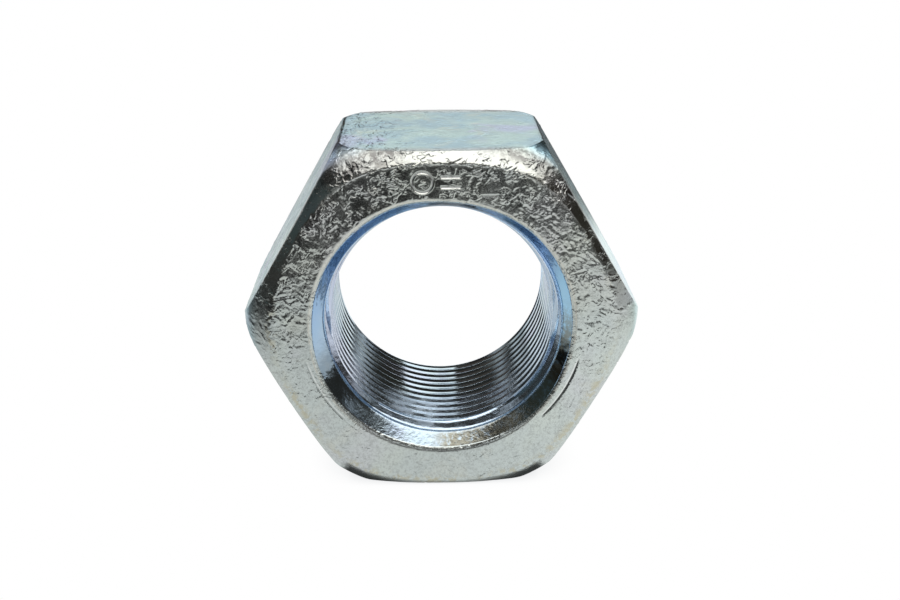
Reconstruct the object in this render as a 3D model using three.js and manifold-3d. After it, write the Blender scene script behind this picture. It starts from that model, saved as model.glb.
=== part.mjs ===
// Hex nut, heavy fine-thread pattern, hot forged, turned on both faces, tapped
// right-hand and zinc plated. One solid piece of steel.
//
// Frame: millimetres, +Z up. The nut stands on one of its six wrench flats, so
// the thread axis lies along Y. The front bearing face looks towards -Y and the
// rear one towards +Y. The origin is on the thread axis, half way through the
// nut's thickness.

import * as THREE from "three";
import { mergeVertices } from "three/addons/utils/BufferGeometryUtils.js";
import Module from "manifold-3d";

// ---- driving dimensions ---------------------------------------------------
const ACROSS_FLATS = 56.8; // wrench size
const THICKNESS = 33.4; // along the thread axis
const THREAD_MAJOR = 38.1; // diameter, 1 1/2 in
const THREAD_MINOR = 36.2; // bored diameter before tapping, inside the 2B limits
const THREADS_PER_INCH = 12;
const CORNER_RADIUS = 1.0; // forged rounding of the six long edges
const FACE_CIRCLE = 54.6; // diameter where each bearing face meets its chamfer
const CHAMFER_DEG = 45; // slope of the corner chamfers, measured from the face
const SINK_DIAMETER = 43.3; // countersink at each face

// Depths are measured from the face that the feature starts at.
const SINK_FLOOR_DIAMETER = 39.0; // where the front countersink meets the lead-in taper
const SINK_DEPTH = 2.0; // front countersink
const LEAD_DEPTH = 7.0; // where the lead-in taper runs out at the minor diameter
const REAR_SINK_DEPTH = 7.2; // the rear countersink is a single cone
const LEAD_CREST = 6.9; // where the first full crest starts, straight above the axis

// ---- resolution -----------------------------------------------------------
const THREAD_SEGMENTS = 48; // per turn, and around the countersinks
const FACE_SEGMENTS = 96; // around the turned outer cones
const CORNER_SEGMENTS = 5; // on each rounded edge
const WELD_DISTANCE = 1e-4; // vertices closer than this become one

// ---- cutter allowances ----------------------------------------------------
const ENVELOPE_REACH = ACROSS_FLATS * 0.62; // radius beyond the hexagon's corners
const FACE_OVERSHOOT = 1; // how far the countersink cutters stand out of the faces
const BORE_OVERLAP = 0.25; // radial; carries a cone on until it is clear of the bore wall
const TURNS_BEFORE_LEAD = 4; // brings the tap's near end out of the front face
const TURNS_SPARE = 1.5; // brings the tap's far end out of the rear face

// ---- derived --------------------------------------------------------------
const HALF = THICKNESS / 2;
const MAJOR_RADIUS = THREAD_MAJOR / 2;
const MINOR_RADIUS = THREAD_MINOR / 2;
const PITCH = 25.4 / THREADS_PER_INCH;

// Axial lengths of the thread's parts, in turns.
const FLANK = ((MAJOR_RADIUS - MINOR_RADIUS) * Math.tan(Math.PI / 6)) / PITCH;
const ROOT_FLAT = 1 / 8;
const CREST_FLAT = 1 - ROOT_FLAT - 2 * FLANK;

// ---- solids and meshes ----------------------------------------------------
const wasm = await Module();
wasm.setup();

// Only positions are kept, so that vertices along seams can be welded.
function toSolid(geometry) {
  for (const key of Object.keys(geometry.attributes)) {
    if (key !== "position") geometry.deleteAttribute(key);
  }
  const welded = mergeVertices(geometry, WELD_DISTANCE);
  return new wasm.Manifold(
    new wasm.Mesh({
      numProp: 3,
      vertProperties: new Float32Array(welded.attributes.position.array),
      triVerts: new Uint32Array(welded.index.array),
    }),
  );
}

function indexedGeometry(positions, triangles) {
  const geometry = new THREE.BufferGeometry();
  geometry.setAttribute("position", new THREE.Float32BufferAttribute(positions, 3));
  geometry.setIndex(new THREE.Uint32BufferAttribute(triangles, 1));
  return geometry;
}

function toGeometry(solid) {
  const mesh = solid.getMesh();
  const geometry = indexedGeometry(mesh.vertProperties, mesh.triVerts);
  geometry.computeVertexNormals();
  return geometry;
}

// A body of revolution about Y from [radius, y] pairs listed from low y to
// high y, starting and ending on the axis.
function turned(profile, segments) {
  const points = profile.map(([radius, y]) => new THREE.Vector2(radius, y));
  return toSolid(new THREE.LatheGeometry(points, segments));
}

// ---- six-sided forging ----------------------------------------------------
// Hexagon with flats on top and bottom and rounded corners.
function hexOutline() {
  const arcCentreRadius = (ACROSS_FLATS / 2 - CORNER_RADIUS) / Math.cos(Math.PI / 6);
  const points = [];
  for (let corner = 0; corner < 6; corner++) {
    const direction = (corner * Math.PI) / 3;
    const centreX = arcCentreRadius * Math.cos(direction);
    const centreY = arcCentreRadius * Math.sin(direction);
    for (let i = 0; i <= CORNER_SEGMENTS; i++) {
      const angle = direction + (i / CORNER_SEGMENTS - 0.5) * (Math.PI / 3);
      points.push(
        new THREE.Vector2(
          centreX + CORNER_RADIUS * Math.cos(angle),
          centreY + CORNER_RADIUS * Math.sin(angle),
        ),
      );
    }
  }
  return new THREE.Shape(points);
}

function hexBar() {
  const bar = new THREE.ExtrudeGeometry(hexOutline(), {
    depth: THICKNESS,
    bevelEnabled: false,
    curveSegments: 1,
  });
  bar.translate(0, 0, -HALF);
  bar.rotateX(Math.PI / 2); // the extrusion direction becomes the thread axis
  return toSolid(bar);
}

// Both faces are turned: a flat disc, then a cone that takes the corners off.
function turnedEnvelope() {
  const faceRadius = FACE_CIRCLE / 2;
  const chamferDepth =
    (ENVELOPE_REACH - faceRadius) * Math.tan((CHAMFER_DEG * Math.PI) / 180);
  return turned(
    [
      [0, -HALF],
      [faceRadius, -HALF],
      [ENVELOPE_REACH, -HALF + chamferDepth],
      [ENVELOPE_REACH, HALF - chamferDepth],
      [faceRadius, HALF],
      [0, HALF],
    ],
    FACE_SEGMENTS,
  );
}

// ---- threaded hole --------------------------------------------------------
// The tap's shape: a right-hand screw with 60 degree flanks, a flat of
// ROOT_FLAT at the major diameter and what remains at the minor diameter.
// Its surface is a grid: columns go around the axis, rows go along it.
function tap() {
  // One turn of the profile: radius, axial place in turns. The end of one
  // turn is the start of the next.
  const profile = [
    [MINOR_RADIUS, 0],
    [MINOR_RADIUS, CREST_FLAT],
    [MAJOR_RADIUS, CREST_FLAT + FLANK],
    [MAJOR_RADIUS, CREST_FLAT + FLANK + ROOT_FLAT],
  ];
  const rowsPerTurn = profile.length;

  // Column 0 points along +X; the top of the bore comes this much of a turn later.
  const turnToTop = 0.75;
  const start = -HALF + LEAD_CREST - (turnToTop + TURNS_BEFORE_LEAD) * PITCH;
  const turns = Math.ceil((HALF - start) / PITCH + TURNS_SPARE);
  const rows = rowsPerTurn * turns + 1;

  const positions = [];
  for (let column = 0; column < THREAD_SEGMENTS; column++) {
    const angle = (column / THREAD_SEGMENTS) * 2 * Math.PI;
    for (let row = 0; row < rows; row++) {
      const [radius, place] = profile[row % rowsPerTurn];
      const turn = Math.floor(row / rowsPerTurn);
      const y = start + (turn + place + column / THREAD_SEGMENTS) * PITCH;
      // Seen from -Y the screw turns clockwise as it goes away (+Y).
      positions.push(radius * Math.cos(angle), y, -radius * Math.sin(angle));
    }
  }

  // A point on the axis for the fan that closes each end.
  const lowCentre = THREAD_SEGMENTS * rows;
  const highCentre = lowCentre + 1;
  positions.push(0, start + PITCH / 2, 0);
  positions.push(0, start + (turns + 0.5) * PITCH, 0);

  // The column after the last one is column 0 moved up by one pitch.
  const vertexAt = (column, row) =>
    column < THREAD_SEGMENTS ? column * rows + row : row + rowsPerTurn;
  const topRow = rows - 1;
  const lastColumn = THREAD_SEGMENTS - 1;

  const triangles = [];
  for (let column = 0; column < THREAD_SEGMENTS; column++) {
    const cells = column === lastColumn ? topRow - rowsPerTurn : topRow;
    for (let row = 0; row < cells; row++) {
      const near = vertexAt(column, row);
      const next = vertexAt(column + 1, row);
      const nextUp = vertexAt(column + 1, row + 1);
      const nearUp = vertexAt(column, row + 1);
      triangles.push(near, next, nextUp, near, nextUp, nearUp);
    }
    triangles.push(lowCentre, vertexAt(column + 1, 0), vertexAt(column, 0));
  }
  // Radial step that closes the low end at the seam.
  for (let row = 0; row < rowsPerTurn; row++) {
    triangles.push(lowCentre, row, row + 1);
  }
  // High end: the fan, then its radial step and the last triangle at the seam.
  for (let column = 0; column < lastColumn; column++) {
    triangles.push(highCentre, vertexAt(column, topRow), vertexAt(column + 1, topRow));
  }
  for (let row = topRow - rowsPerTurn; row < topRow; row++) {
    triangles.push(highCentre, vertexAt(lastColumn, row + 1), vertexAt(lastColumn, row));
  }
  triangles.push(highCentre, vertexAt(lastColumn, topRow - rowsPerTurn), topRow);
  return toSolid(indexedGeometry(positions, triangles));
}

// ---- countersinks ---------------------------------------------------------
// Slopes are radius lost per millimetre of depth.

// A wide cone, then a slight taper that the first threads run out on.
function frontSink() {
  const sinkSlope = (SINK_DIAMETER - SINK_FLOOR_DIAMETER) / 2 / SINK_DEPTH;
  const leadSlope = (SINK_FLOOR_DIAMETER - THREAD_MINOR) / 2 / (LEAD_DEPTH - SINK_DEPTH);
  const endY = -HALF + LEAD_DEPTH + BORE_OVERLAP / leadSlope;
  return turned(
    [
      [0, -HALF - FACE_OVERSHOOT],
      [SINK_DIAMETER / 2 + sinkSlope * FACE_OVERSHOOT, -HALF - FACE_OVERSHOOT],
      [SINK_FLOOR_DIAMETER / 2, -HALF + SINK_DEPTH],
      [MINOR_RADIUS - BORE_OVERLAP, endY],
      [0, endY],
    ],
    THREAD_SEGMENTS,
  );
}

// One plain cone.
function rearSink() {
  const slope = (SINK_DIAMETER - THREAD_MINOR) / 2 / REAR_SINK_DEPTH;
  const endY = HALF - REAR_SINK_DEPTH - BORE_OVERLAP / slope;
  return turned(
    [
      [0, endY],
      [MINOR_RADIUS - BORE_OVERLAP, endY],
      [SINK_DIAMETER / 2 + slope * FACE_OVERSHOOT, HALF + FACE_OVERSHOOT],
      [0, HALF + FACE_OVERSHOOT],
    ],
    THREAD_SEGMENTS,
  );
}

// ---- the nut --------------------------------------------------------------
const zincPlatedSteel = new THREE.MeshStandardMaterial({
  color: 0xb9c6d3,
  roughness: 0.34,
  metalness: 1.0,
});

const body = hexBar()
  .intersect(turnedEnvelope())
  .subtract(tap())
  .subtract(frontSink())
  .subtract(rearSink());

const nut = new THREE.Mesh(toGeometry(body), zincPlatedSteel);
nut.name = "nut_body";

const part = new THREE.Group();
part.add(nut);

export default part;
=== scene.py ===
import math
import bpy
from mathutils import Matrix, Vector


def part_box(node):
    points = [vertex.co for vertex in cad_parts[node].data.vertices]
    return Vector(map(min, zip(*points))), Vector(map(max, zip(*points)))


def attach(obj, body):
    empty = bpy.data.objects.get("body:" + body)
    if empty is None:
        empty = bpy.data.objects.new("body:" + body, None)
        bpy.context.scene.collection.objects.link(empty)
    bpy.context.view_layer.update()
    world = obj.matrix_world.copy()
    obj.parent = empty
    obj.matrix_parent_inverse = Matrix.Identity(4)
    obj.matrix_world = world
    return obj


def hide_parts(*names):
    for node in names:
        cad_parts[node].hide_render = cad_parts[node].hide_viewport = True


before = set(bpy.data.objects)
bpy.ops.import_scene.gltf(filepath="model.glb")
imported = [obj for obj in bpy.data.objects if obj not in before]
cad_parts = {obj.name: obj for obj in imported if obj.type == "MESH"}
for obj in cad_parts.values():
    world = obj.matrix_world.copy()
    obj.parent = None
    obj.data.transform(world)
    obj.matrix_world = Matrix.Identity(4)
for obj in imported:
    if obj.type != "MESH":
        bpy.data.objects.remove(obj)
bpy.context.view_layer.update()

# A zinc-plated hexagon nut with a right-hand thread, on a pale floor. The bore
# runs along Y, with the front face at -Y. Two flats face up and down (Z), and
# two corners point along X. The geometry is worked in millimetres about the
# nut's centre and scaled to metres when the mesh is made.

from types import SimpleNamespace

import bpy
import numpy as np
from mathutils import Matrix

LOW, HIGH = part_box("nut_body")
TAU = 2 * math.pi
DEGREES = 180 / math.pi

# ---------------------------------------------------------------- dimensions
# Outside sizes come from the CAD frame. All lengths are in mm.
HALF = (HIGH.y - LOW.y) * 1000.0 / 2  # half the thickness
APOTHEM = (HIGH.z - LOW.z) * 1000.0 / 2  # centre to flat
FRONT_CORNERS = np.array([1.0, 0.8, 0.8, 1.5, 3.0, 2.6])  # radii, every 60 degrees from +X
REAR_CORNERS = np.array([1.2, 0.7, 0.7, 1.6, 1.4, 1.2])

# thread; crest, root and flank are widths in turns
PITCH = 25.4 / 12
BORE_R = 18.1  # radius at the crests
CREST = 0.42  # worn and blunt
ROOT = 0.125
FLANK = (1 - CREST - ROOT) / 2
ROOT_R = BORE_R + FLANK * PITCH / math.tan(math.pi / 6)
LEAD_CREST = 6.29  # sets where round the bore the thread starts
START = (-HALF + LEAD_CREST - 0.75 * PITCH) % PITCH - 40 * PITCH

# front countersink, then a lead-in taper that runs deeper at the top
SINK_DEPTH = 2.0
SINK_FLOOR_R = 19.5
SINK_FLATTER = 0.38  # how much smaller the floor is at the sides
LEAD_DEPTH_TOP = 7.0
LEAD_DEPTH_LOW = 3.4
REAR_SINK_R = 21.65
REAR_SINK_DEPTH = 7.2

# chamfers and small edges
CHAMFER_TAN = math.tan(math.radians(35))
CHAMFER_CURVE = 0.05
REAR_CHAMFER_TAN = 0.5
CHAMFER_BLEND = 0.17  # softness of the bend from face to chamfer
EDGE = 0.22  # rounding between chamfer and flat
CORNER_R = 30.8  # beyond this radius the corners fall short of full

# marks on the front face: a ring, and two bars side by side above the bore
MARK_Z = 23.8
RING_LEFT = 2.9
RING_R = 1.6
BAR_X = 1.5
BAR_HALF = 1.4
BAR_OFFSET = 0.8
BAR_HEIGHTS = (MARK_Z - BAR_OFFSET, MARK_Z + BAR_OFFSET)

# mesh divisions
COLUMNS = 704
FRONT_ROWS = 58
REAR_ROWS = 26
FLAT_ROWS = 28
BEND_STEPS = 7
SINK_ROWS = 24
FIXED_DEPTH = 3.3  # the level rows reach this deep, the helical rows take over

# Radius where the turned face meets the corner chamfer: (degrees, mm)
FACE_CIRCLE = [
    (-178, 27.7), (-150, 27.2), (-121, 28.7), (-105, 28.1), (-90, 27.7),
    (-75, 28.1), (-60, 28.8), (-30, 27.2), (0, 28.1), (20, 27.4),
    (30, 27.0), (45, 27.4), (60, 28.0), (75, 27.2), (90, 26.7),
    (105, 27.3), (120, 27.9), (135, 27.5), (150, 27.0), (165, 27.1),
]
# Radius of the front countersink's mouth, not quite round: (degrees, mm)
LIP_CIRCLE = [
    (-150, 21.8), (-120, 22.05), (-90, 22.1), (-60, 22.05), (-45, 21.8), (-20, 21.4),
    (0, 21.35), (20, 21.45), (45, 21.35), (60, 21.1), (75, 20.9), (90, 20.85),
    (108, 21.3), (125, 21.25), (150, 21.2), (180, 21.3),
]
# Strength of the painted shade round the countersinks: (degrees, 0 to 1)
SINK_SHADE_STRENGTH = [
    (-170, 0.06), (-120, 0.0), (-60, 0.0), (-20, 0.15), (8, 0.0), (30, 0.25), (50, 0.62),
    (62, 0.86), (85, 1.0), (105, 0.86), (122, 0.56), (150, 0.35), (175, 0.08),
]
# Helical rows in one turn: (place in turns, how far it moves as crests go blunt).
# A pair of rows GAP to either side of each bend keeps the bend sharp.
GAP = 0.011
THREAD_ROWS = np.array([
    (GAP, -1), (CREST / 2, 0), (CREST - GAP, 1), (CREST + GAP, 1),
    (CREST + FLANK / 2, 0.5), (CREST + FLANK - GAP, 0), (CREST + FLANK + GAP, 0),
    (1 - FLANK - GAP, 0), (1 - FLANK + GAP, 0), (1 - FLANK / 2, -0.5), (1 - GAP, -1),
])


# -------------------------------------------------------------- curves, noise
_tables = {}


def noise(points, size, seed):
    """Gradient noise, about -1 to 1, with features near `size` mm."""
    if seed not in _tables:
        g = np.random.default_rng(seed).normal(size=(48, 48, 48, 3))
        _tables[seed] = (g / np.linalg.norm(g, axis=3, keepdims=True)).astype(np.float32)
    table = _tables[seed]
    place = points / size + 211.37
    cell = np.floor(place).astype(np.int64)
    part = (place - cell).astype(np.float32)
    fade = part * part * part * (part * (part * 6 - 15) + 10)
    total = 0
    for step in np.ndindex(2, 2, 2):
        step = np.array(step)
        k = (cell + step) % 48
        slope = ((part - step) * table[k[:, 0], k[:, 1], k[:, 2]]).sum(1)
        total = total + np.where(step, fade, 1 - fade).prod(1) * slope
    return total * 1.7


def smooth(start, end, x):
    """Eases from 0 at start to 1 at end."""
    t = np.clip((x - start) / (end - start), 0, 1)
    return t * t * (3 - 2 * t)


def band(x, rise_start, rise_end, fall_start, fall_end):
    return smooth(rise_start, rise_end, x) * (1 - smooth(fall_start, fall_end, x))


def bell(x, width, power=2):
    return np.exp(-((x / width) ** power))


def smooth_max(a, b, blend):
    h = np.clip(0.5 + 0.5 * (a - b) / blend, 0, 1)
    return b + (a - b) * h + blend * h * (1 - h)


def round_table(theta, table):
    """Smooth closed curve through (degrees, value) stations."""
    d, v = np.array(table, float).T
    d = np.concatenate([d - 360, d, d + 360])
    v = np.tile(v, 3)
    x = np.degrees(np.arctan2(np.sin(theta), np.cos(theta)))
    k = np.clip(np.searchsorted(d, x, side="right") - 1, 1, len(d) - 3)
    h = d[k + 1] - d[k]
    t = (x - d[k]) / h
    slope_a = (v[k + 1] - v[k - 1]) / (d[k + 1] - d[k - 1]) * h
    slope_b = (v[k + 2] - v[k]) / (d[k + 2] - d[k]) * h
    return (
        (2 * t**3 - 3 * t**2 + 1) * v[k]
        + (t**3 - 2 * t**2 + t) * slope_a
        + (3 * t**2 - 2 * t**3) * v[k + 1]
        + (t**3 - t**2) * slope_b
    )


def bezier(p0, p1, p2, steps):
    return [
        (1 - t) ** 2 * p0 + 2 * t * (1 - t) * p1 + t * t * p2
        for t in np.linspace(0, 1, steps)
    ]


# ------------------------------------------------------------ outline and bore
def outline(theta, corners):
    """Radius of the rounded hexagon at each angle."""
    theta = (theta + math.pi) % TAU - math.pi
    nearest = np.round(theta / (math.pi / 3))
    radii = corners[nearest.astype(int) % 6]
    off = theta - nearest * (math.pi / 3)
    t = math.pi / 6 - np.abs(off)  # angle from the middle of the flat
    flat = APOTHEM / np.cos(t)
    centre = (APOTHEM - radii) / math.cos(math.pi / 6)
    disc = radii**2 - (centre * np.sin(np.abs(off))) ** 2
    arc = centre * np.cos(off) + np.sqrt(np.maximum(disc, 0))
    from_corner = APOTHEM * math.tan(math.pi / 6) - APOTHEM * np.tan(t)
    return np.where(from_corner < radii * math.tan(math.pi / 6), arc, flat)


def lead_depth(theta):
    deeper = smooth(-0.3, 0.5, np.sin(theta))
    return LEAD_DEPTH_LOW + (LEAD_DEPTH_TOP - LEAD_DEPTH_LOW) * deeper


def sink_floor(theta):
    return SINK_FLOOR_R - SINK_FLATTER * np.cos(theta) ** 2


def sink_radius(y, mouth, lead, floor):
    """Front: countersink, then the lead-in taper. Rear: one cone."""
    depth = HALF - np.abs(y)
    steep = mouth - depth * (mouth - floor) / SINK_DEPTH
    taper = floor - (depth - SINK_DEPTH) * (floor - BORE_R) / (lead - SINK_DEPTH)
    cone = REAR_SINK_R - depth * (REAR_SINK_R - BORE_R) / REAR_SINK_DEPTH
    return np.where(y < 0, smooth_max(steep, taper, 0.16), cone)


def thread_profile(turn):
    up = np.clip((turn - CREST) / FLANK, 0, 1)
    down = np.clip((turn - CREST - FLANK - ROOT) / FLANK, 0, 1)
    return BORE_R + (ROOT_R - BORE_R) * (up - down)


def bore_radius(angle, y, mouth):
    cut = thread_profile(((y - START) / PITCH - angle / TAU) % 1.0)
    # the first turns are torn open: shallow grooves run out over the taper
    faint = 0.38 * band(y + HALF, 1.5, 2.4, 5.0, 8.0) * (cut - BORE_R) / (ROOT_R - BORE_R)
    sink = sink_radius(y, mouth, lead_depth(-angle), sink_floor(-angle))
    return smooth_max(cut, sink + faint, 0.05)


# ------------------------------------------------------------------ the rows
# Each column has its own angle, with x = r cos and z = -r sin, so that the
# right-hand thread climbs towards +Y from column to column. THETA is the usual
# angle from +X towards +Z. A level row is an array of r and y by column.
ANGLE = np.arange(COLUMNS) / COLUMNS * TAU
THETA = -ANGLE
MOUTH = round_table(THETA, LIP_CIRCLE)


def to_points(radius, y, angle):
    return np.stack([radius * np.cos(angle), y, -radius * np.sin(angle)], -1)


def outer_half(side, rows):
    """Rows from the countersink lip to just past the hexagon's edge.
    side -1 is the front (-Y), +1 the rear."""
    if side < 0:
        circle = round_table(THETA, FACE_CIRCLE)
        mouth = MOUTH
        hexagon = outline(THETA, FRONT_CORNERS)
    else:
        circle = 27.2 + 0.3 * np.cos(6 * THETA) + 0.1 * np.sin(2 * THETA)
        mouth = REAR_SINK_R + 0 * ANGLE
        hexagon = outline(THETA, REAR_CORNERS)

    def face_point(r):
        past = np.clip((r - circle) / CHAMFER_BLEND, -30, 30)
        over = CHAMFER_BLEND * np.log1p(np.exp(past))
        corner = 0.9 * np.maximum(r - CORNER_R, 0) ** 2.2  # forging never quite fills
        if side > 0:
            drop = REAR_CHAMFER_TAN * over
        else:
            drop = CHAMFER_TAN * over + CHAMFER_CURVE * over**2
        return np.stack([r, HALF - drop - corner])

    lip = 0.42 + 0.06 * np.sin(3 * THETA + 1.0)
    bend = face_point(mouth)
    inner_y = bend[1] - lip * 0.8
    inner_r = sink_radius(side * inner_y, mouth, lead_depth(THETA), sink_floor(THETA))
    outer = face_point(mouth + lip)
    out = bezier(np.stack([inner_r, inner_y]), bend, outer, BEND_STEPS)
    rim_r = hexagon - EDGE * 0.80
    for t in np.linspace(0, 1, rows + 1)[1:]:
        out.append(face_point(outer[0] + (rim_r - outer[0]) * t))
    corner = face_point(hexagon)
    down = np.stack([hexagon, corner[1] - EDGE])
    out += bezier(out[-1], corner, down, BEND_STEPS)[1:]
    return [np.stack([r, y * side]) for r, y in out]


def sink_rows(side, lip):
    """Close level rows from the lip down the countersink and first run-out."""
    lip_y = np.abs(lip[1])
    rows = []
    for t in np.linspace(0, 1, SINK_ROWS + 1)[1:]:
        y = (lip_y + (HALF - FIXED_DEPTH - lip_y) * t) * side
        rows.append(np.stack([bore_radius(ANGLE, y, MOUTH), y]))
    return rows


def thread_grid(rear_end, front_end, used):
    """Helical rows between the sinks: their point numbers and new points.
    Rows that leave the threaded part are pinned to the sinks' last rows."""
    inner = HALF - FIXED_DEPTH
    first = math.floor((-inner - START) / PITCH) - 2
    count = math.ceil(2 * inner / PITCH) + 4
    steps = np.array([first + i + place for i in range(count) for place in THREAD_ROWS[:, 0]])
    moves = np.tile(THREAD_ROWS[:, 1], count)
    around = np.arange(COLUMNS + 1) % COLUMNS
    y = START + PITCH * (steps[:, None] + (np.arange(COLUMNS + 1) / COLUMNS)[None])
    # crests get blunter where the taper has cut them
    theta = THETA[around][None]
    sink = sink_radius(y, MOUTH[around][None], lead_depth(theta), sink_floor(theta))
    blunt = np.maximum(sink - BORE_R, 0) * math.tan(math.pi / 6) / PITCH
    blunt = np.minimum(blunt, FLANK - 2.2 * GAP)
    y = y + PITCH * blunt * moves[:, None]

    numbers = np.full(y.shape, -1, np.int64)
    numbers = np.where(y <= -inner + 0.02, front_end[around][None], numbers)
    numbers = np.where(y >= inner - 0.02, rear_end[around][None], numbers)
    row, column = np.nonzero(numbers[:, :COLUMNS] < 0)
    numbers[row, column] = used + np.arange(len(row))
    # after a full turn a row meets the same row of the next turn
    for k in range(len(steps)):
        if numbers[k, COLUMNS] < 0:
            numbers[k, COLUMNS] = numbers[k + len(THREAD_ROWS), 0]
    angle, y = ANGLE[column], y[row, column]
    return numbers, to_points(bore_radius(angle, y, MOUTH[column]), y, angle)


def strip(row_a, row_b):
    return np.stack([row_a[:-1], row_a[1:], row_b[1:], row_b[:-1]], 1)


def vertex_normals(points, quads, large_lead=False):
    """Vertex normals by face area, or by its square to let large faces lead."""
    total = np.zeros_like(points)
    for corners in ((0, 1, 2), (0, 2, 3)):
        a, b, c = (points[quads[:, k]] for k in corners)
        n = np.cross(b - a, c - a)
        if large_lead:
            n = n * np.linalg.norm(n, axis=1, keepdims=True)
        for k in corners:
            np.add.at(total, quads[:, k], n)
    return total / np.maximum(np.linalg.norm(total, axis=1), 1e-12)[:, None]


front = outer_half(-1, FRONT_ROWS)
rear = outer_half(1, REAR_ROWS)[::-1]
flat = [
    front[-1] * (1 - t) + rear[0] * t
    for t in np.linspace(0, 1, FLAT_ROWS + 1)[1:-1]
]
outer = front + flat + rear
to_rear_sink = outer + sink_rows(1, rear[-1])
level = np.array(to_rear_sink + sink_rows(-1, front[0])[::-1])
index = np.arange(len(level) * COLUMNS).reshape(len(level), COLUMNS)
SPLIT = len(to_rear_sink)  # the thread lies between rows SPLIT - 1 and SPLIT
helix, thread_points = thread_grid(index[SPLIT - 1], index[SPLIT], index.size)
P = np.concatenate([to_points(level[:, 0], level[:, 1], ANGLE).reshape(-1, 3), thread_points])

# rows run lip, face, flat, rear face, rear sink, then the thread back to the
# front sink and round to the lip again
loops = np.concatenate([index, index[:, :1]], 1)
quads = [strip(loops[k], loops[k + 1]) for k in range(SPLIT - 1)]
quads += [strip(helix[k], helix[k - 1]) for k in range(len(helix) - 1, 0, -1)]
quads += [strip(loops[k], loops[k + 1]) for k in range(SPLIT, len(level) - 1)]
quads.append(strip(loops[-1], loops[0]))
quads = np.concatenate(quads)
# pinned rows leave quads with repeated points, which become triangles or vanish
faces = [list(dict.fromkeys(q)) for q in quads.tolist()]
faces = [face for face in faces if len(face) >= 3]

# ----------------------------------------------------------------- regions
# weights from 0 to 1 by point, that place the relief and the plating's tints
normal = vertex_normals(P, quads)
rad = np.hypot(P[:, 0], P[:, 2])
theta = np.arctan2(P[:, 2], P[:, 0])
deg = np.degrees(theta)
row_of = np.full(len(P), -1)
row_of[: index.size] = np.repeat(np.arange(len(level)), COLUMNS)
is_bore = (row_of < 0) | (row_of >= len(outer))
on_front = (row_of >= 0) & (row_of < len(front))
on_rear = (row_of >= len(outer) - len(rear)) & (row_of < len(outer))

past_lip = rad - np.where(P[:, 1] < 0, round_table(theta, LIP_CIRCLE), REAR_SINK_R)
past_circle = rad - round_table(theta, FACE_CIRCLE)
forged = np.where(is_bore, 0.0, 1.0) * smooth(0.1, 0.7, past_lip)
end_w = smooth(HALF - 4.2, HALF - 1.2, np.abs(P[:, 1]))  # 1 on faces and chamfers
upper = smooth(-0.25, 0.55, np.sin(theta) + 0.25 * noise(P, 9.0, 20))
chamfer = smooth(-0.2, 0.5, past_circle)
inside = P[:, 1] + HALF  # distance in from the front face
near_end = 1 - smooth(10.0, 14.5, inside + 0.8 * noise(P, 3.0, 44))


def ring_distance():
    return np.abs(np.hypot(P[:, 0] + RING_LEFT, P[:, 2] - MARK_Z) - RING_R)


def quiet_weight():
    """1 where the scale is at its fullest, less on the chamfer flanks and near the marks."""
    flank = band(deg, 6, 14, 46, 56) + band(deg, 116, 126, 160, 172)
    weight = 1 - 0.85 * smooth(-0.3, 0.6, past_circle) * flank
    beyond_x = np.maximum(np.abs(P[:, 0] - BAR_X) - BAR_HALF, 0)
    beyond_z = np.maximum(np.abs(P[:, 2] - MARK_Z) - BAR_OFFSET, 0)
    clear = np.minimum(ring_distance(), np.hypot(beyond_x, beyond_z))
    return weight * np.where(on_front, smooth(0.2, 1.0, clear), 1.0)


quiet = quiet_weight()


# ------------------------------------------------------------ surface relief
# heights in mm along the normal
def scale_relief():
    """Hammered scale: patches of raised and sunk crinkles that crowd together
    on the upper half and the chamfers, and a rougher skin on the flats."""
    warp = np.stack([noise(P, 2.6, seed) for seed in (11, 12, 13)], 1)
    warped = P + 0.55 * warp
    busy = np.clip(0.30 + 0.70 * upper + 0.2 * chamfer, 0, 1)
    busy = busy * (1 - 0.75 * bell(theta - math.pi / 2, 0.42) * chamfer)

    def crinkles(size, seed, patch_size, patch_seed, threshold):
        patch = noise(P, patch_size, patch_seed) + 0.24 * busy - threshold
        return bell(noise(warped, size, seed), 0.17) * smooth(0.12, 0.30, patch)

    sunk = crinkles(1.45, 23, 2.6, 24, 0.17)
    raised = crinkles(1.25, 25, 2.1, 26, 0.18)
    swell = 0.012 * noise(warped, 1.9, 21) + 0.006 * noise(warped, 0.9, 22)
    relief = end_w * quiet * (swell + 0.018 * busy * (raised - sunk))
    relief += 0.025 * noise(P, 8.5, 31) * forged
    left_end = smooth(-6.0, -13.0, P[:, 0])
    relief += (1 - end_w) * (0.012 + 0.030 * left_end) * noise(warped, 1.3, 32)
    relief += (1 - end_w) * (0.006 + 0.024 * left_end) * noise(warped, 0.8, 33)
    return relief


def polar(radius, angle):
    return np.array([radius * math.cos(angle), radius * math.sin(angle)])


def stroke_distance(xz, centre, way, length):
    """Distance to a straight stroke reaching `length` to either side of its centre."""
    v = xz - centre
    d = polar(1.0, way)
    along = np.clip(v @ d, -length, length)
    return np.sqrt(((v - along[:, None] * d) ** 2).sum(1))


def add_nicks(relief, rng, where, count):
    """Short nicks from tumbling and handling, each with a low raised border."""
    chosen = np.nonzero(where)[0]
    xz = P[chosen][:, [0, 2]]
    for _ in range(count):
        angle = rng.uniform(0, TAU)
        centre = polar(rng.uniform(22.4, 30.5), angle)
        way = rng.uniform(0, TAU)
        length, width = rng.uniform(0.5, 1.3), rng.uniform(0.13, 0.22)
        depth = rng.uniform(0.04, 0.10)
        distance = stroke_distance(xz, centre, way, length)
        relief[chosen] -= depth * bell(distance, width)
        relief[chosen] += 0.25 * depth * bell(distance - 1.9 * width, 0.8 * width)


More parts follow.
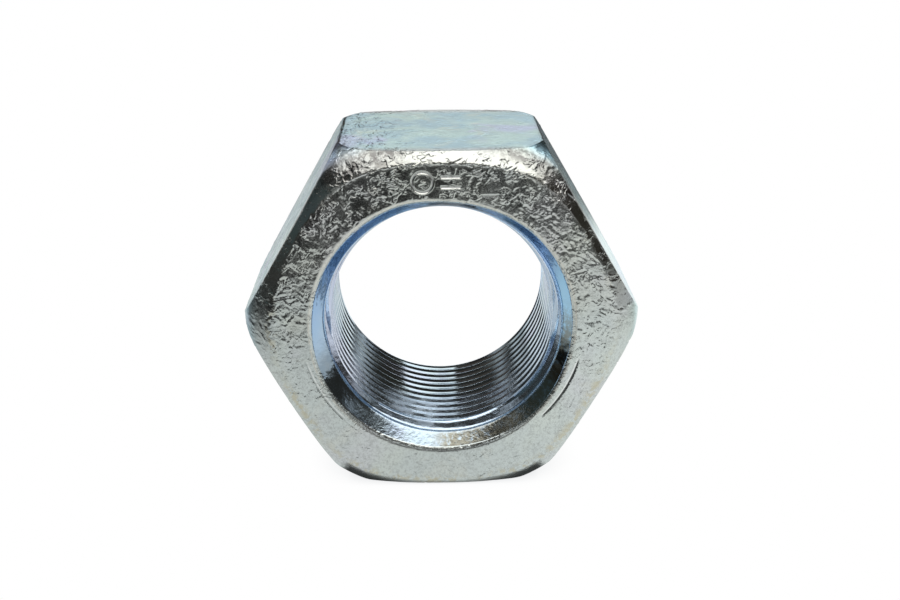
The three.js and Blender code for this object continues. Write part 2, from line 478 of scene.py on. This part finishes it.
def add_strokes(relief, rng, where, count):
    """Flattened scale: short strokes, raised or sunk, thickest on the upper half."""
    chosen = np.nonzero(where)[0]
    xz = P[chosen][:, [0, 2]]
    for _ in range(count):
        arc = (-0.15, math.pi + 0.15) if rng.random() < 0.80 else (0, TAU)
        angle = rng.uniform(*arc)
        centre = polar(rng.uniform(21.6, 32.0), angle)
        way = angle + rng.normal(0, 0.75)
        length, width = rng.uniform(0.12, 0.60), rng.uniform(0.09, 0.16)
        rise = rng.uniform(0.035, 0.11) * (1 if rng.random() < 0.6 else -1)
        near = np.nonzero((np.abs(xz - centre) < 1.3).all(1))[0]
        distance = stroke_distance(xz[near], centre, way, length)
        relief[chosen[near]] += rise * bell(distance, width) * quiet[chosen[near]]


def front_cuts():
    """Depth of the turning groove, deepest at lower right, and of the ring and bars."""
    strength = band(deg, -47, -40, -20, -13) + 0.35 * band(deg, -165, -155, -128, -118) + 0.12
    cut = 0.14 * bell(rad - 22.9, 0.13) * strength
    beyond_x = np.maximum(np.abs(P[:, 0] - BAR_X) - BAR_HALF, 0)
    marks = [ring_distance()] + [np.hypot(beyond_x, P[:, 2] - z) for z in BAR_HEIGHTS]
    for distance in marks:
        cut = cut + 0.05 * bell(distance, 0.24, power=4)
    return np.where(on_front, cut, 0)


def bore_relief():
    """The tapped wall is smooth, with a little chatter near the front end."""
    chatter = 0.008 * noise(P, 1.4, 42) + 0.007 * noise(P, 0.6, 43)
    return 0.0015 * noise(P, 4.0, 41) + near_end * chatter


relief = scale_relief()
rng = np.random.default_rng(77)
for where in (on_front, on_rear):
    add_nicks(relief, rng, where, 70)
for where, count in ((on_front, 760), (on_rear, 520)):
    add_strokes(relief, rng, where, count)
relief = np.where(is_bore, bore_relief(), (relief - front_cuts()) * forged)
worn = P + normal * relief[:, None]
# nothing stands far proud of the end faces
worn[:, 1] = np.clip(worn[:, 1], -HALF - 0.10, HALF + 0.10)


# --------------------------------------------------------------- the object
def point_weights():
    """Weights that the plating material reads, by attribute name."""
    depth = HALF - np.abs(worn[:, 1])
    sine = np.sin(theta)
    # painted highlight: a bright bead broken round the lip; painted shade: a dark line at its
    # bottom
    bottom = bell(deg + 90, 38, power=4)
    broken = smooth(-0.5, 0.1, noise(worn, 1.1, 51) + 0.35 * upper)
    bead = band(past_lip, -0.06, 0.02, 0.16, 0.34) * (depth < 1.0) * (1 - bottom) * broken
    line = band(past_lip, -0.10, 0.02, 0.10, 0.24) * bottom * (worn[:, 1] < 0)
    # painted shade at the top of the countersinks, fading out about 2 mm in
    sink_painted_shade = np.clip(round_table(theta, SINK_SHADE_STRENGTH), 0, 1) * (1 - smooth(1.9, 2.4, depth))
    lilac = smooth(-12.0, -16.0, worn[:, 0]) * smooth(14.0, 8.0, inside)
    lilac = lilac * smooth(2.2, 3.2, inside)
    # painted shade on the upper corners and the upper-left chamfer, where they reflect the dark
    # room
    corner = smooth(28.3, 30.3, rad) * smooth(0.45, 0.7, sine)
    corner += 0.8 * chamfer * band(deg, 97, 108, 122, 130)

    def in_bore(weight):
        return np.where(is_bore, weight, 0.0)

    def outside(weight):
        return np.where(is_bore, 0.0, weight)

    return {
        "bead_w": bead,
        "lip_painted_shade": line,
        "rim_w": bell(past_circle + 0.1, 0.75) * (depth < 2.0) * ~is_bore,
        "sink_painted_shade": in_bore(sink_painted_shade),
        "lilac": in_bore(lilac),
        "chamfer_w": outside(chamfer * end_w),
        "upper_w": upper,
        "bore_w": in_bore(1.0),
        "near_w": in_bore(near_end * smooth(1.6, 2.4, depth)),
        "quiet": np.where(is_bore, 1.0, quiet),
        "glare_w": in_bore(band(deg, -124, -116, -98, -90)),
        "painted_corner_shade_w": outside(np.clip(corner, 0, 1) * end_w),
        "low_cut": smooth(-0.45, -0.85, sine),
        "sink_w": in_bore(1 - smooth(1.6, 2.6, depth)) * (1 - bead),
        "face_w": outside(end_w),
        "relief_mm": relief,
    }


def build_nut():
    mesh = bpy.data.meshes.new("nut")
    mesh.from_pydata((worn * 0.001).tolist(), [], faces)
    mesh.validate(clean_customdata=False)
    mesh.update()
    mesh.polygons.foreach_set("use_smooth", [True] * len(mesh.polygons))
    # led by the larger faces, so the thread's flats stay flat
    shade = vertex_normals(worn, quads, large_lead=True)
    shade *= np.where(np.einsum("ij,ij->i", shade, normal) < 0, -1.0, 1.0)[:, None]
    mesh.normals_split_custom_set_from_vertices(shade.tolist())
    for name, values in point_weights().items():
        layer = mesh.attributes.new(name, "FLOAT", "POINT")
        layer.data.foreach_set("value", np.asarray(values, np.float32))
    nut = bpy.data.objects.new("hex_nut", mesh)
    bpy.context.scene.collection.objects.link(nut)
    return nut


nut = build_nut()


# ------------------------------------------------------------- node helpers
class Wire:
    """A node's output. Arithmetic on it adds math nodes."""

    def __init__(self, nodes, socket):
        self.nodes = nodes
        self.socket = socket

    def __add__(self, other):
        return self.nodes.math("ADD", self, other)

    def __sub__(self, other):
        return self.nodes.math("SUBTRACT", self, other)

    def __rsub__(self, other):
        return self.nodes.math("SUBTRACT", other, self)

    def __mul__(self, other):
        return self.nodes.math("MULTIPLY", self, other)

    def __truediv__(self, other):
        return self.nodes.math("DIVIDE", self, other)

    def __abs__(self):
        return self.nodes.math("ABSOLUTE", self)

    def scaled(self, by, plus):
        return self.nodes.math("MULTIPLY_ADD", self, by, plus)

    def ramp(self, between, to=(0.0, 1.0)):
        """Eases from to[0] to to[1] as this goes between two values."""
        inputs = {
            "Value": self,
            "From Min": between[0],
            "From Max": between[1],
            "To Min": to[0],
            "To Max": to[1],
        }
        return self.nodes.wire("MapRange", inputs, interpolation_type="SMOOTHSTEP")

    def band(self, rise, fall):
        return self.ramp(between=rise) * self.ramp(between=fall, to=(1.0, 0.0))


class Nodes:
    """Builds a shader tree."""

    def __init__(self, tree):
        self.tree = tree
        tree.nodes.clear()

    def node(self, kind, inputs=None, **props):
        node = self.tree.nodes.new("ShaderNode" + kind)
        for key, value in props.items():
            setattr(node, key, value)
        for key, value in (inputs or {}).items():
            self.put(node.inputs[key], value)
        return node

    def wire(self, kind, inputs=None, output=0, **props):
        return Wire(self, self.node(kind, inputs, **props).outputs[output])

    def put(self, socket, value):
        if isinstance(value, Wire):
            self.tree.links.new(value.socket, socket)
        elif value is not None:
            socket.default_value = value

    def math(self, op, a, b=None, c=None, clamp=False):
        return self.wire("Math", {0: a, 1: b, 2: c}, operation=op, use_clamp=clamp)

    def vector(self, op, inputs):
        return self.wire("VectorMath", inputs, operation=op)

    def split(self, vector):
        node = self.node("SeparateXYZ", {0: vector})
        return [Wire(self, socket) for socket in node.outputs]

    def hypot(self, a, b):
        return self.math("SQRT", a * a + b * b)

    def mix(self, amount, under, over):
        under, over = (c if isinstance(c, Wire) else (*c, 1) for c in (under, over))
        inputs = {"Factor": amount, 6: under, 7: over}
        return self.wire("Mix", inputs, output=2, data_type="RGBA")

    def coat(self, under, colour, where, strength=None):
        """Lays a colour over another where a weight says."""
        amount = where if strength is None else where * strength
        return self.mix(amount, under, colour)

    def noise(self, vector, scale, detail, rough, distortion=0.0, output=0):
        inputs = {
            "Vector": vector,
            "Scale": scale,
            "Detail": detail,
            "Roughness": rough,
            "Distortion": distortion,
        }
        return self.wire("TexNoise", inputs, output)

    def patches(self, vector, between, to=(0.0, 1.0), **noise):
        return self.noise(vector, **noise).ramp(between, to)

    def attr(self, name):
        return self.wire("Attribute", output="Fac", attribute_name=name)

    def camera_sees(self, output, seen, otherwise):
        """Shows the camera one shader, and reflections and light another."""
        ray = self.wire("LightPath", output="Is Camera Ray")
        self.node(output, {0: self.wire("MixShader", {0: ray, 1: otherwise, 2: seen})})


def new_material(name):
    material = bpy.data.materials.new(name)
    material.use_nodes = True
    return material, Nodes(material.node_tree)


# ----------------------------------------------------------- zinc material
# Base colours of the plating, and of the painted shade and highlights
CYAN, GREEN = (0.42, 0.62, 0.70), (0.55, 0.74, 0.71)
VIOLET, STRAW = (0.56, 0.60, 0.84), (0.74, 0.76, 0.58)
FACE_GREY, WARM_GREY, PALE_GREY = (0.71, 0.73, 0.70), (0.66, 0.62, 0.56), (0.78, 0.77, 0.71)
PAINTED_CORNER_SHADE = (0.17, 0.165, 0.16)
BORE_BLUE, SINK_BLUE, SKY_BLUE = (0.62, 0.68, 0.79), (0.34, 0.56, 0.92), (0.46, 0.76, 1.0)
PAINTED_SINK_SHADE, LILAC, SAND = (0.016, 0.027, 0.032), (0.78, 0.72, 0.84), (0.30, 0.28, 0.21)
THREAD_BLUE = (0.58, 0.70, 0.88)
PAINTED_LIP_HIGHLIGHT, PAINTED_LIP_SHADE = (0.86, 0.84, 0.76), (0.10, 0.10, 0.09)
GRIME, MOTTLE, RIM_STRAW = (0.24, 0.23, 0.20), (0.40, 0.41, 0.40), (0.60, 0.55, 0.40)
PAINTED_GROOVE_SHADE, GROOVE_LIT, MARK_PALE = (0.06, 0.06, 0.06), (0.97, 0.97, 0.95), (0.95, 0.95, 0.93)


def nut_places(t):
    """Coordinates and point weights that the plating's layers share."""
    at = SimpleNamespace(co=t.wire("TexCoord", output="Object"))
    for name in ("bore", "sink", "face", "bead", "upper", "near"):
        setattr(at, name, t.attr(name + "_w"))
    at.right = t.split(at.co)[0]
    at.low = 1.0 - at.upper
    warp = t.noise(at.co, scale=420, detail=2, rough=0.5, output="Color")
    centred = t.vector("SUBTRACT", {0: warp, 1: (0.5, 0.5, 0.5)})
    shift = t.vector("SCALE", {0: centred, "Scale": 0.0014})
    at.warped = t.vector("ADD", {0: at.co, 1: shift})
    # stretched round the bore, for tool drag
    at.drawn = t.vector("MULTIPLY", {0: at.co, 1: (0.30, 1.5, 0.30)})
    return at


def plating_colour(t, at):
    """Bluish zinc with faint cyan, violet and straw interference tints, with painted shade and
    highlights on the upper corners, the countersinks and the lip.
    """
    co, face, upper, sink = at.co, at.face, at.upper, at.sink
    cloud = t.patches(co, scale=85, detail=3, rough=0.6, between=(0.40, 0.60))
    violet = t.patches(co, scale=95, detail=2, rough=0.5, distortion=0.4, between=(0.52, 0.70))
    straw = t.patches(co, scale=130, detail=3, rough=0.6, distortion=0.8, between=(0.54, 0.70))
    col = t.mix(cloud, CYAN, GREEN)
    col = t.coat(col, VIOLET, violet, strength=0.75)
    col = t.coat(col, STRAW, straw, strength=0.35)
    # forged faces a little greyer and warmer
    col = t.coat(col, FACE_GREY, face, strength=0.60)
    col = t.coat(col, WARM_GREY, face * upper, strength=0.55)
    col = t.coat(col, PALE_GREY, face * (1.0 - upper), strength=0.45)
    # painted shade, broken into flecks, on the upper corners and chamfers
    flecks = t.patches(co, scale=900, detail=3, rough=0.7, between=(0.38, 0.58), to=(0.30, 1.0))
    col = t.coat(col, PAINTED_CORNER_SHADE, t.attr("painted_corner_shade_w"), strength=flecks)
    # bore and countersink bluer, with painted shade making the top of the countersink darkest
    col = t.coat(col, BORE_BLUE, at.bore, strength=0.6)
    col = t.coat(col, SINK_BLUE, sink, strength=upper.scaled(by=0.75, plus=0.10))
    sky = sink * at.right.ramp(between=(0.0165, 0.0195))
    col = t.coat(col, SKY_BLUE, sky, strength=0.9)
    # painted shade: near-black at the top of the countersinks, broken into patches
    navy = t.patches(co, scale=700, detail=3, rough=0.6, between=(0.25, 0.75), to=(0.75, 1.0))
    col = t.coat(col, PAINTED_SINK_SHADE, t.attr("sink_painted_shade"), strength=navy)
    col = t.coat(col, LILAC, t.attr("lilac"), strength=0.8)
    grit = t.patches(co, scale=1100, detail=3, rough=0.7, between=(0.28, 0.56))
    sandy = sink * at.low * grit * at.right.ramp(between=(-0.003, 0.001))
    col = t.coat(col, SAND, sandy, strength=0.9)
    col = t.coat(col, THREAD_BLUE, at.near, strength=0.5)
    # painted highlight: a cream bead round the lip; painted shade: a dark line at its bottom
    col = t.coat(col, PAINTED_LIP_HIGHLIGHT, at.bead, strength=0.85)
    return t.coat(col, PAINTED_LIP_SHADE, t.attr("lip_painted_shade"), strength=0.85)


def front_marks(t, at):
    """Weights of the turning groove, its lit edge, and the ring and bars, in mm."""
    x, y, z = (axis * 1000 for axis in t.split(at.co))
    on_front = t.math("LESS_THAN", y, -HALF + 1.0)
    radius = t.hypot(x, z)
    angle = t.math("ARCTAN2", z, x) * DEGREES
    groove = abs(radius - 22.88).ramp(between=(0.05, 0.15), to=(1.0, 0.0))
    groove_lit = abs(radius - 22.60).ramp(between=(0.05, 0.17), to=(1.0, 0.0))
    right = angle.band(rise=(-45, -43), fall=(-17, -14))
    left = angle.band(rise=(-166, -163), fall=(-137, -134))
    stroke = abs(t.hypot(x + RING_LEFT, z - MARK_Z) - RING_R)
    for bar_z in BAR_HEIGHTS:
        beyond = abs(x - BAR_X) - BAR_HALF
        bar = t.hypot(t.math("MAXIMUM", beyond, 0.0), z - bar_z)
        stroke = t.math("MINIMUM", stroke, bar)
    return SimpleNamespace(
        on_front=on_front,
        scribe=groove * left.scaled(by=0.35, plus=right),
        scribe_lit=groove_lit * left.scaled(by=0.8, plus=right),
        stamp=stroke.ramp(between=(0.03, 0.20), to=(1.0, 0.0)),
        burr=stroke.band(rise=(0.18, 0.28), fall=(0.28, 0.42)),
    )


def scale_lines(t, at, scale, width, patch_scale):
    """Thin crinkled lines along a noise's middle level, in patches."""
    level = abs(t.noise(at.warped, scale=scale, detail=1, rough=0.5) - 0.5)
    line = level.ramp(between=(0.0, width), to=(1.0, 0.0))
    return line * t.patches(at.co, scale=patch_scale, detail=1, rough=0.5, between=(0.565, 0.625))


def fine_height(t, at, marks, crack):
    """Relief finer than the mesh, in mm: scale lines, grain, torn cuts and marks."""
    ridge = scale_lines(t, at, scale=900, width=0.13, patch_scale=470)
    grain = t.noise(at.warped, scale=1900, detail=2, rough=0.65)
    swell = t.noise(at.warped, scale=1000, detail=2, rough=0.5)
    # ridges rise and cracks sink, more so on the upper half
    lined = (ridge * 0.065 + crack * -0.060) * at.upper.scaled(by=0.65, plus=0.35)
    height = lined + grain * at.low.scaled(by=0.020, plus=0.028) + swell * 0.032
    height = height * t.attr("quiet").scaled(by=0.65, plus=0.35)
    # away from the end faces it fades, mostly to the right, and most in the bore
    flat = at.right.ramp(between=(-0.013, -0.003), to=(0.85, 0.26))
    soft = (at.face * (1.0 - flat) + flat) * (1.0 - at.bore * 0.88)
    # the countersink's cut is torn, mostly round its lower half
    torn = at.sink * t.attr("low_cut").scaled(by=0.040, plus=0.004)
    cut = t.noise(at.co, scale=1600, detail=3, rough=0.7) * torn
    cut = cut + t.noise(at.drawn, scale=1700, detail=3, rough=0.75) * (at.near * 0.030)
    # groove and strokes sunk, with a raised burr beside the strokes
    cut_marks = marks.scribe * -0.06 + marks.stamp * -0.10 + marks.burr * 0.035
    return height * soft + cut + cut_marks * marks.on_front


def grime(t, at, crack):
    """Residue in specks and cracks on the faces."""
    speck = t.patches(at.co, scale=1700, detail=2, rough=0.6, between=(0.60, 0.72))
    return t.math("MAXIMUM", speck * at.face * 0.30, crack * (at.face * 0.16))


def stained(t, at, col, dirt, marks, stamped):
    """Grime, mottling, a straw band where face meets chamfer, painted shade in the turning
    groove, and the marks.
    """
    col = t.coat(col, GRIME, dirt)
    mottle = t.patches(at.warped, scale=2300, detail=3, rough=0.7, between=(0.44, 0.64))
    spread = at.face * at.low.scaled(by=0.26, plus=0.18)
    col = t.coat(col, MOTTLE, mottle, strength=spread)
    fine = t.patches(at.co, scale=800, detail=3, rough=0.7, between=(0.46, 0.58))
    broad = t.patches(
        at.co, scale=150, detail=2, rough=0.5, between=(0.38, 0.55), to=(0.25, 1.0)
    )
    rim = t.attr("rim_w") * fine * broad
    col = t.coat(col, RIM_STRAW, rim, strength=at.low.scaled(by=0.60, plus=0.12))
    # painted shade in the turning groove, beside its lit edge
    col = t.coat(col, PAINTED_GROOVE_SHADE, marks.scribe * marks.on_front, strength=0.9)
    col = t.coat(col, GROOVE_LIT, marks.scribe_lit * marks.on_front, strength=0.7)
    return t.coat(col, MARK_PALE, stamped, strength=0.9)


def plating_roughness(t, at, dirt, stamped):
    rough = t.patches(at.co, scale=260, detail=4, rough=0.6, between=(0.3, 0.7), to=(0.15, 0.24))
    rough = rough - at.bore * 0.10  # the bore is glossier
    rough = rough + at.sink * (t.attr("low_cut") * 0.08)  # duller where torn
    rough = rough + at.near * 0.05
    # drawn streaks low on the left of the thread
    glare = at.near * t.attr("glare_w")
    rough = rough + glare * t.patches(
        at.drawn, scale=1100, detail=3, rough=0.7, between=(0.38, 0.62), to=(0.04, 0.20)
    )
    rough = rough + at.bead * 0.14 + stamped * 0.12  # duller along the lip's painted highlight and on the marks
    return t.math("ADD", rough, dirt * 0.30, clamp=True)


def zinc():
    material, t = new_material("zinc_plated_steel")
    at = nut_places(t)
    marks = front_marks(t, at)
    crack = scale_lines(t, at, scale=980, width=0.12, patch_scale=540)
    dirt = grime(t, at, crack)
    stamped = marks.stamp * marks.on_front
    height = fine_height(t, at, marks, crack)
    bump = t.wire("Bump", {"Height": height, "Distance": 0.001, "Strength": 1.0})
    surface = {
        "Base Color": stained(t, at, plating_colour(t, at), dirt, marks, stamped),
        "Metallic": 1.0,
        "Roughness": plating_roughness(t, at, dirt, stamped),
        "Normal": bump,
    }
    t.node("OutputMaterial", {0: t.wire("BsdfPrincipled", surface)})
    return material


nut.data.materials.append(zinc())
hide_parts("nut_body")
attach(nut, "root")


# ------------------------------------------------------------------- floor
STAGE_UNIT = BORE_R  # the floor's lighting and the camera are laid out in bore radii
FLOOR_REACH = 12.0  # m
FLOOR_Z = LOW.z - 0.0001  # m, just clear of the nut
CONTACT_X = 0.93  # half width of the nut's contact shadow, in stage units
CONTACT_Y = (HALF - 1.4) / STAGE_UNIT


def reflected_floor(t, x, y):
    """Brightness in reflections: the lit table ends in front of the nut and
    the room is dark. x and y are in stage units."""
    slant = y_along = x.scaled(by=0.55, plus=y)
    near_edge = slant.ramp(between=(-8.4, -5.7))
    front = near_edge + y_along.ramp(between=(-28.0, -18.0), to=(0.35, 0.0))
    left = t.math(
        "MAXIMUM",
        x.ramp(between=(-8.0, -2.0), to=(0.20, 1.0)),
        y.ramp(between=(3.0, 6.0), to=(0.0, 0.48)),
    )
    right = x.ramp(between=(3.5, 10.0), to=(1.0, 0.6))
    back = y.ramp(between=(2.0, 6.0), to=(1.0, 1.35))
    level = (front * left) * (right * back)
    # a dark wedge far behind, to the right
    aside = y.scaled(by=-0.37, plus=x)
    wedge = x.ramp(between=(1.0, 2.2)) * aside.ramp(between=(-0.1, 0.6), to=(1.0, 0.0))
    level = level * (y.ramp(between=(7.0, 9.0)) * wedge).scaled(by=-0.9, plus=1.0)
    # the nut's own contact shadow
    gap_x = t.math("MAXIMUM", abs(x) - CONTACT_X, 0.0)
    gap_y = t.math("MAXIMUM", abs(y) - CONTACT_Y, 0.0)
    level = level * t.hypot(gap_x, gap_y).ramp(between=(0.0, 0.12), to=(0.05, 1.0))
    # brighter to the right, and never quite black
    return level.scaled(by=x.ramp(between=(-0.5, 2.0), to=(0.69, 0.82)), plus=0.012)


def floor_material():
    material, t = new_material("pale_floor")
    x, y, _ = t.split(t.wire("NewGeometry", output="Position"))
    # seen: pale, with a soft shadow where the nut stands
    open_sky = t.wire("AmbientOcclusion", {"Distance": 0.012}, output="AO", samples=16)
    shade = open_sky.ramp(between=(0.0, 0.62), to=(0.55, 1.0))
    tint = t.mix(shade, (0.60, 0.62, 0.64), (1.0, 1.0, 1.0))
    seen = t.wire("Emission", {0: tint, 1: 1.0})
    level = reflected_floor(t, x / (STAGE_UNIT / 1000), y / (STAGE_UNIT / 1000))
    reflected = t.wire("Emission", {0: (0.96, 1.0, 1.0, 1), 1: level})
    t.camera_sees("OutputMaterial", seen, reflected)
    return material


def build_floor():
    mesh = bpy.data.meshes.new("floor")
    corners = [(-1, -1), (1, -1), (1, 1), (-1, 1)]
    points = [(x * FLOOR_REACH, y * FLOOR_REACH, FLOOR_Z) for x, y in corners]
    mesh.from_pydata(points, [], [(0, 1, 2, 3)])
    mesh.materials.append(floor_material())
    floor = bpy.data.objects.new("floor", mesh)
    bpy.context.scene.collection.objects.link(floor)


build_floor()


# ------------------------------------------------------------------- world
def studio_lights(t):
    """Patches of light on the sky, as (level, tint). Azimuth is in degrees
    towards +X, from -Y in front or +Y behind; elevation is in degrees up."""
    dx, dy, dz = t.split(t.wire("TexCoord", output="Generated"))
    elevation = t.math("ARCSINE", dz) * DEGREES
    ahead = t.math("ARCTAN2", dx, dy * -1.0) * DEGREES
    behind = t.math("ARCTAN2", dx, dy) * DEGREES

    def soft_band(x, ends, soft):
        low, high = ends
        return x.band(rise=(low - soft, low + soft), fall=(high - soft, high + soft))

    def patch(azimuth, az, el, soft, level):
        across = soft_band(azimuth, az, soft[0])
        return across * soft_band(elevation, el, soft[1]) * level

    # the softbox hangs a little to the right; it is weaker out to either side,
    # so that a flat seen square on isn't washed out
    softbox = dx.scaled(by=6.5, plus=elevation).ramp(between=(39.5, 46.5)) * 1.8
    dim = {"el": (47, 68), "soft": (7, 5), "level": 0.52}
    dimmed = patch(ahead, az=(72, 108), **dim) + patch(ahead, az=(-108, -72), **dim)
    window = patch(behind, az=(-5.5, 16), el=(2, 24.2), soft=(0.4, 0.4), level=1.0)
    window = window * elevation.ramp(between=(14, 18), to=(0.60, 1.3))
    lights = [
        (softbox * (1.0 - dimmed), (1.0, 0.99, 0.97)),
        # window behind the camera
        (patch(ahead, (-30, 30), (7, 21), soft=(6, 3), level=0.9), (0.93, 0.97, 1.0)),
        (window, (0.95, 0.99, 1.0)),  # window behind the nut
    ]
    # azimuth from, azimuth range, elevation range, (softness of each), level, tint
    patches = [
        (behind, (2, 16), (24.9, 32), (1.0, 0.4), 0.95, (0.86, 0.94, 1.0)),  # upper light
        (behind, (-6, 2), (24.9, 32), (1.0, 0.4), 0.34, (0.72, 0.84, 1.0)),
        (behind, (-45, 45), (25.5, 44), (8, 2.0), 0.10, (0.70, 0.85, 1.0)),
        (behind, (-45, -6), (6, 24), (3, 2.0), 0.035, (1.0, 0.72, 0.62)),  # brown wall
        (behind, (-42, -12), (-4, 4.5), (2, 1.0), 0.55, (0.92, 0.98, 1.0)),  # sill under it
        (ahead, (-95, -50), (6, 34), (8, 4), 0.05, (0.45, 0.85, 1.0)),  # dim blue side
        (behind, (-85, -34), (8, 42), (5, 5), 0.5, (0.92, 0.97, 1.0)),  # side panels, behind
        (behind, (34, 85), (8, 42), (5, 5), 0.5, (0.92, 0.97, 1.0)),
        (ahead, (38, 52), (9, 22), (3, 3), 0.42, (0.95, 0.98, 1.0)),  # small fills, in front
        (ahead, (-47, -33), (21, 33), (3, 3), 0.42, (0.95, 0.98, 1.0)),
    ]
    return lights + [(patch(*spec), tint) for *spec, tint in patches]


def build_world():
    world = bpy.data.worlds.new("studio")
    bpy.context.scene.world = world
    world.use_nodes = True
    t = Nodes(world.node_tree)
    scaled = [t.vector("SCALE", {0: tint, "Scale": level}) for level, tint in studio_lights(t)]
    total = scaled[0]
    ambient = (0.026, 0.024, 0.020)
    for light in scaled[1:] + [ambient]:
        total = t.vector("ADD", {0: total, 1: light})
    glow = t.wire("Background", {0: total, 1: 1.0})
    plain = t.wire("Background", {0: (1, 1, 1, 1), 1: 1.0})
    t.camera_sees("OutputWorld", plain, glow)


build_world()

# ------------------------------------------------------------------ camera
SENSOR = 36.0  # mm
LENS = 49.4148  # mm
# place in stage units from the middle of the front face, and the camera's axes
CAMERA_PLACE = np.array([-0.11117, -10.15086, 4.02118])
CAMERA_RIGHT = (0.99978257, -0.01997317, -0.00599079)
CAMERA_UP = (0.01256394, 0.34770221, 0.93752084)
CAMERA_BACK = (-0.01664225, -0.93739226, 0.34787755)


def build_camera():
    data = bpy.data.cameras.new("camera")
    data.sensor_width = SENSOR
    data.lens = LENS
    data.clip_start = 0.01
    data.clip_end = 50.0
    camera = bpy.data.objects.new("camera", data)
    bpy.context.scene.collection.objects.link(camera)
    pose = np.eye(4)
    pose[:3, :3] = np.array([CAMERA_RIGHT, CAMERA_UP, CAMERA_BACK]).T
    pose[:3, 3] = (CAMERA_PLACE * STAGE_UNIT - (0, HALF, 0)) / 1000
    camera.matrix_world = Matrix(pose.tolist())
    bpy.context.scene.camera = camera


build_camera()

view = bpy.context.scene.view_settings
view.view_transform = "Standard"
view.look = "None"
view.exposure = 0.0
view.gamma = 1.0
